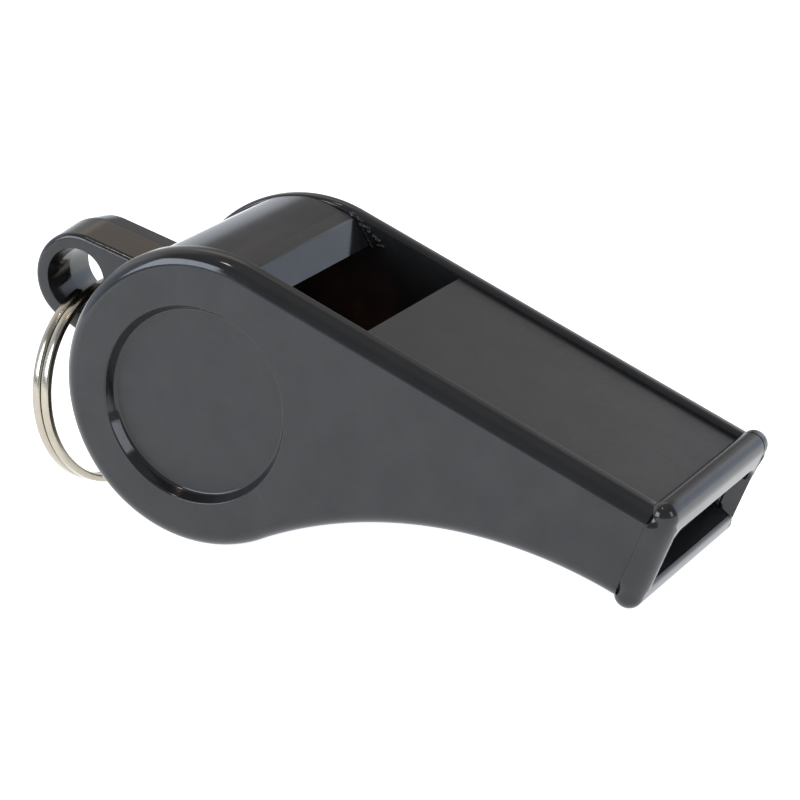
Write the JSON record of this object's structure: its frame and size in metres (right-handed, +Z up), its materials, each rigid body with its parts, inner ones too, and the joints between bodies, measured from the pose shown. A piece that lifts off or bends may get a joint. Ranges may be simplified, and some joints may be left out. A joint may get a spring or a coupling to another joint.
{
  "type": "sports whistle",
  "caption": "Moulded pea whistle with a glued side cover, a cork pea loose in its round chamber and a split ring hanging in its lanyard lug.",
  "frame": {"origin": "centre of the bounding box's bottom face, on the table that the whistle lies on", "axes": "+Z up, +X towards the mouth, +Y towards the glued side cover; the whistle rests on its round chamber and on the lower lip of its mouth"},
  "size_m": [0.0568, 0.02, 0.0232],
  "materials": {
    "shell_plastic": "black moulded plastic, satin on the flats and glossy on the rounded edges",
    "cover_plastic": "the same black moulded plastic",
    "cork": "dry reddish-brown cork with fine pores",
    "nickel": "bright nickel plate, slightly warm"
  },
  "bodies": {
    "housing": {"body_shell": "shell_plastic", "side_cover": "cover_plastic"},
    "pea": {"pea": "cork"},
    "ring": {"split_ring": "nickel"}
  },
  "joints": [
    {"name": "pea_orbit", "type": "hinge", "parent": "housing", "child": "pea", "pos_m": [-0.00999, 0, 0.0116], "axis": [0, 1, 0], "continuous": true},
    {"name": "ring_swing", "type": "hinge", "parent": "housing", "child": "ring", "pos_m": [-0.02442, 0, 0.01767], "axis": [0, 1, 0], "range_deg": [-2.5, 237]}
  ]
}
